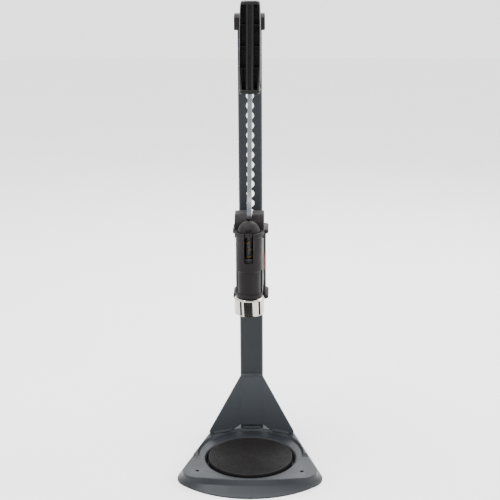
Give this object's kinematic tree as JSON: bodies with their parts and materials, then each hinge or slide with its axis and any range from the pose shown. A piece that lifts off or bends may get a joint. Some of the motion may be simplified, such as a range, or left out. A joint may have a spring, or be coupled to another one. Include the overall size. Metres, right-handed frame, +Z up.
{
  "type": "bench bottle capper",
  "caption": "Bench-top crown capper: sheet-steel base with rubber pad, drilled channel column, sliding lever carriage and sprung plunger with a crimping bell.",
  "frame": {"origin": "middle of the footprint, at the bench", "axes": "+Z up, -Y towards the user, X = 0 the symmetry plane"},
  "size_m": [0.1826, 0.2, 0.585],
  "materials": {
    "painted_steel": "dark grey semi-gloss paint",
    "weld": "painted over weld bead",
    "pad_rubber": "matt black",
    "black_plastic": "fine satin moulding",
    "label_red": "blank printed film",
    "dark_steel": "blackened steel",
    "zinc_steel": "zinc plated",
    "spring_steel": "yellow passivated spring wire",
    "bell_chrome": "polished",
    "magnet": "sintered ferrite"
  },
  "bodies": {
    "stand": {"base_plate": "painted_steel", "bottle_pad": "pad_rubber", "column": "painted_steel", "column_cap": "black_plastic", "gusset_plate": "painted_steel", "gusset_top_weld": "weld", "column_foot_weld": "weld", "wing_weld_left": "weld", "wing_weld_right": "weld"},
    "carriage": {"carriage_body": "black_plastic", "side_label": "label_red", "pivot_pin": "zinc_steel", "rod_bush": "dark_steel"},
    "lever": {"lever_bar": "zinc_steel", "lever_grip": "black_plastic"},
    "plunger": {"plunger_cap": "black_plastic", "plunger_rod": "dark_steel", "return_spring": "spring_steel", "capping_bell": "bell_chrome", "bell_magnet": "magnet", "bell_lock_nut": "zinc_steel"},
    "pawl": {"latch_pawl": "zinc_steel"}
  },
  "joints": [
    {"name": "carriage_slide", "type": "slide", "parent": "stand", "child": "carriage", "axis": [0, 0, 1], "range_m": [-0.075, 0.225]},
    {"name": "lever_swing", "type": "hinge", "parent": "carriage", "child": "lever", "pos_m": [0, 0.0095, 0.3235], "axis": [1, 0, 0], "range_deg": [0, 100], "stiffness_Nm_per_rad": 0.3, "springref_deg": -83.08},
    {"name": "plunger_slide", "type": "slide", "parent": "carriage", "child": "plunger", "axis": [0, 0, -1], "range_m": [0, 0.03], "stiffness_N_per_m": 20, "springref_m": -0.09, "deforming": ["return_spring"]},
    {"name": "pawl_slide", "type": "slide", "parent": "carriage", "child": "pawl", "axis": [0, 1, 0], "range_m": [0, 0.007]}
  ],
  "couplings": [
    {"joint": "plunger_slide", "follows": "lever_swing", "m_per_rad": 0.017185},
    {"joint": "pawl_slide", "follows": "lever_swing", "m_per_rad": 0.00401}
  ]
}
